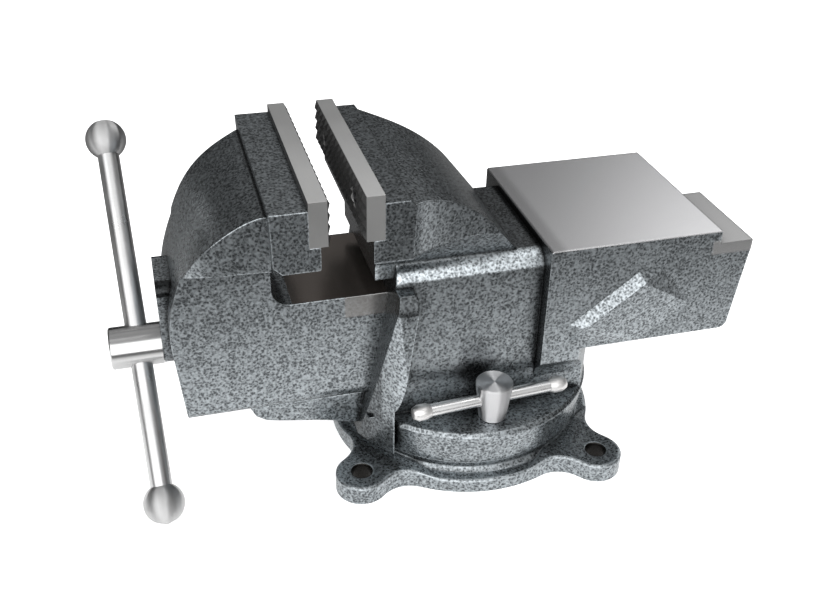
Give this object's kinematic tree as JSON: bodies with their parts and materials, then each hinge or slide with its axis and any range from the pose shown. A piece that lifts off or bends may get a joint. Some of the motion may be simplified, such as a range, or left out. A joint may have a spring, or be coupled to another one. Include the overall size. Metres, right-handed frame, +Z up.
{
  "type": "swivel bench vise",
  "caption": "Bench vise on a round swivel base, with serrated jaw plates, a box slide driven by a handle screw, and an anvil behind the fixed jaw.",
  "frame": {"origin": "on the swivel axis, on the underside of the round base", "axes": "+Z up along the swivel axis; +X from the handle end towards the anvil, along the slide; +Y across the jaws"},
  "size_m": [0.4269, 0.2138, 0.225],
  "materials": {
    "castings": "dark grey hammertone paint, bare machined top on the anvil",
    "jaw_plates": "hardened steel with pyramid teeth, thin oil film",
    "black_screws": "black oxide",
    "nut_iron": "bare cast iron, machined faces",
    "polished_steel": "polished bright steel",
    "turned_steel": "bright steel with turned rings on its face",
    "knob_steel": "bright plated steel"
  },
  "bodies": {
    "base": {"swivel_base": "castings"},
    "body": {"vise_body": "castings", "fixed_jaw_plate": "jaw_plates", "fixed_plate_screws": "black_screws", "main_nut": "nut_iron", "nut_bolts": "black_screws", "tee_nut_near": "nut_iron", "tee_nut_far": "nut_iron"},
    "jaw": {"sliding_jaw": "castings", "moving_jaw_plate": "jaw_plates", "moving_plate_screws": "black_screws"},
    "screw": {"spindle": "polished_steel", "spindle_collar": "polished_steel", "collar_pin": "black_screws"},
    "handle": {"handle_rod": "polished_steel", "upper_handle_ball": "polished_steel", "lower_handle_ball": "polished_steel"},
    "lock_near": {"lock_bolt_near": "turned_steel"},
    "lock_far": {"lock_bolt_far": "turned_steel"},
    "lever_near": {"lock_bar_near": "polished_steel", "lock_knobs_near": "knob_steel"},
    "lever_far": {"lock_bar_far": "polished_steel", "lock_knobs_far": "knob_steel"}
  },
  "joints": [
    {"name": "swivel", "type": "hinge", "parent": "base", "child": "body", "pos_m": [0, 0, 0.02], "axis": [0, 0, 1], "continuous": true},
    {"name": "jaw_slide", "type": "slide", "parent": "body", "child": "jaw", "axis": [1, 0, 0], "range_m": [-0.1317, 0.018]},
    {"name": "spindle_turn", "type": "hinge", "parent": "jaw", "child": "screw", "pos_m": [-0.2, 0, 0.0941], "axis": [1, 0, 0], "range_deg": [-9482.4, 1296]},
    {"name": "handle_slide", "type": "slide", "parent": "screw", "child": "handle", "axis": [-0.0279, 0.6558, 0.7544], "range_m": [-0.114, 0.077]},
    {"name": "lock_near_turn", "type": "hinge", "parent": "body", "child": "lock_near", "pos_m": [0, -0.0714, 0.0614], "axis": [0, 0, 1], "range_deg": [-12, 2]},
    {"name": "lever_near_slide", "type": "slide", "parent": "lock_near", "child": "lever_near", "axis": [0.9976, 0.0698, 0], "range_m": [0, 0.03]},
    {"name": "lock_far_turn", "type": "hinge", "parent": "body", "child": "lock_far", "pos_m": [0, 0.0714, 0.0614], "axis": [0, 0, 1], "range_deg": [-2, 12]},
    {"name": "lever_far_slide", "type": "slide", "parent": "lock_far", "child": "lever_far", "axis": [0.9976, -0.0698, 0], "range_m": [0, 0.03]}
  ],
  "couplings": [
    {"joint": "jaw_slide", "follows": "spindle_turn", "m_per_rad": 0.00079577}
  ]
}
